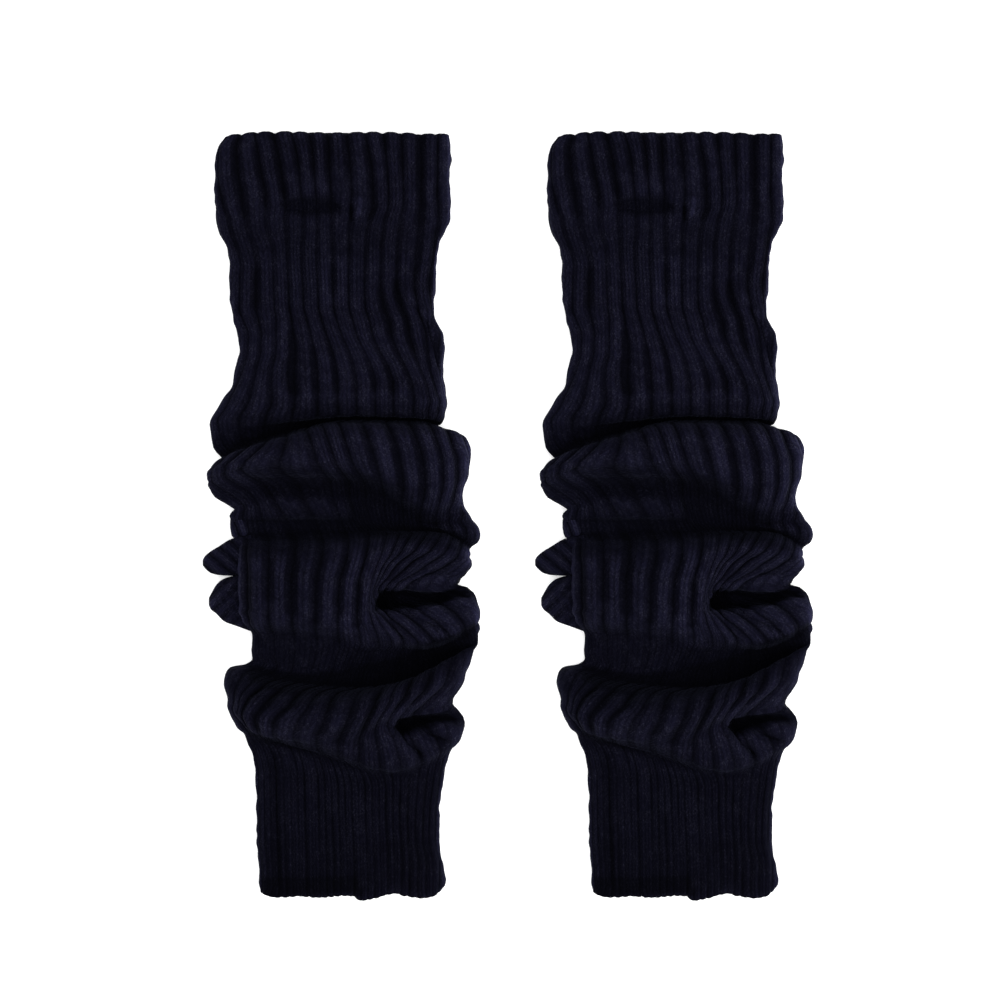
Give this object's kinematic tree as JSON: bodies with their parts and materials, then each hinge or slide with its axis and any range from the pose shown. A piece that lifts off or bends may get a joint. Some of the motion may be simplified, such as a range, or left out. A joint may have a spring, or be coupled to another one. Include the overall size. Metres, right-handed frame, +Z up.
{
  "type": "pair of leg warmers",
  "caption": "Pair of chunky rib-knit leg warmers laid flat side by side, scrunched into soft rolls at the calf, with a finer ribbed ankle.",
  "frame": {"origin": "on the surface the pair lies on, under the middle of the pair's box", "axes": "+X across the pair from the left leg warmer to the right one, +Y along the legs from ankle to cuff, +Z up from the surface"},
  "size_m": [0.3656, 0.4596, 0.0339],
  "materials": {
    "navy_knit": "matt rib-knit yarn, near-black navy"
  },
  "bodies": {
    "root": {"leg_warmer_left": "navy_knit", "leg_warmer_right": "navy_knit"}
  },
  "joints": []
}
